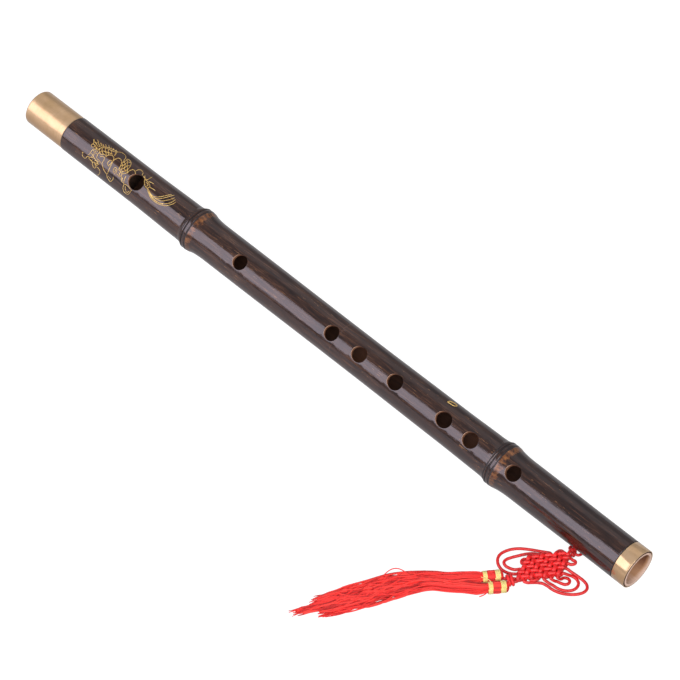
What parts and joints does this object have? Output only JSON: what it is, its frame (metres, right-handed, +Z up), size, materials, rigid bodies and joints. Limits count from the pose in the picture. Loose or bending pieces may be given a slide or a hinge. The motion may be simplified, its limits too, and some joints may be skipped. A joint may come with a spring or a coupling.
{
  "type": "dizi",
  "caption": "Transverse flute of dark lacquered bamboo with gilt line engraving, brass ends and a red woven knot with a pair of long tassels.",
  "frame": {"origin": "on the surface that the flute lies on, straight below the middle of the tube", "axes": "+X along the tube from the blowing head towards the tail, +Z up, -Y towards the side where the tassels lie; the tone holes point up and lean towards -Y"},
  "size_m": [0.4436, 0.1445, 0.0257],
  "materials": {
    "lacquered_bamboo": "glossy dark brown lacquer",
    "brass": "polished, warm",
    "cork": "matte",
    "red_cord": "smooth braided cord",
    "red_yarn": "soft rayon yarn",
    "yellow_thread": "silky thread"
  },
  "bodies": {
    "flute": {"bamboo_tube": "lacquered_bamboo", "head_ferrule": "brass", "tail_ring": "brass", "cork_stopper": "cork", "hanger_loop": "red_cord"},
    "pendant": {"knot_cord": "red_cord", "lower_knot": "red_cord", "tassel_head_left": "red_cord", "tassel_band_left_upper": "yellow_thread", "tassel_band_left_lower": "yellow_thread", "tassel_skirt_left": "red_yarn", "tassel_head_right": "red_cord", "tassel_band_right_upper": "yellow_thread", "tassel_band_right_lower": "yellow_thread", "tassel_skirt_right": "red_yarn"}
  },
  "joints": [
    {"name": "tassel_swing", "type": "hinge", "parent": "flute", "child": "pendant", "pos_m": [0.1874, -0.0091, 0.0023], "axis": [1, 0, 0], "range_deg": [-35, 120]}
  ]
}
